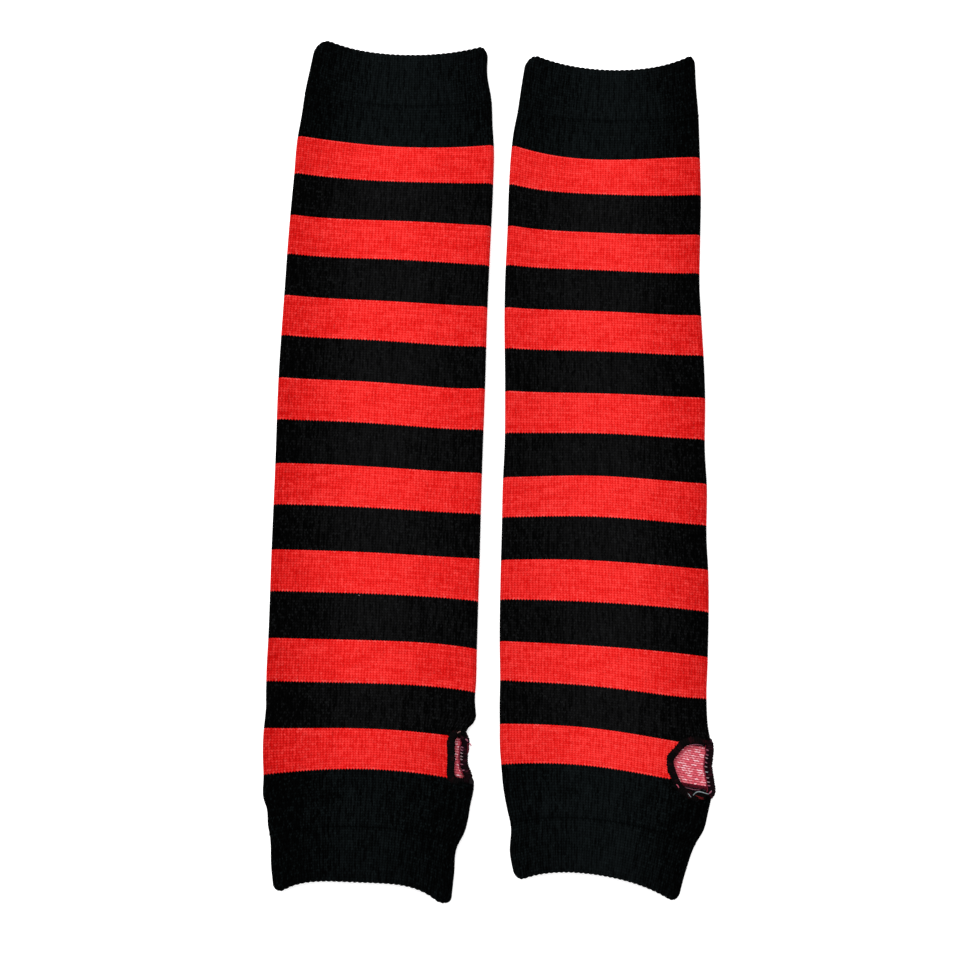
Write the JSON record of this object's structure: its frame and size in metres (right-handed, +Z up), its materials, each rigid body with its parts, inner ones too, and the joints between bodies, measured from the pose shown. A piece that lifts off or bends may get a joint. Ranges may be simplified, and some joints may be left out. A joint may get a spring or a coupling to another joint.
{
  "type": "pair of arm sleeves",
  "caption": "Pair of striped knit arm sleeves laid flat side by side, with turned hems at both ends and an edged thumb hole near each wrist.",
  "frame": {"origin": "middle of the pair on the surface that it lies on", "axes": "+Y along the sleeves towards the upper-arm ends, +X to the right of them, +Z up from the surface"},
  "size_m": [0.167, 0.3322, 0.0056],
  "materials": {
    "striped_knit": "fine plain knit in red and black stripes, matt",
    "black_knit": "fine plain knit, double layer, matt",
    "black_thread": "overlocked thread, slight sheen"
  },
  "bodies": {
    "root": {"left_striped_tube": "striped_knit", "left_arm_hem": "black_knit", "left_wrist_hem": "black_knit", "left_thumb_edging": "black_thread", "right_striped_tube": "striped_knit", "right_arm_hem": "black_knit", "right_wrist_hem": "black_knit", "right_thumb_edging": "black_thread"}
  },
  "joints": []
}
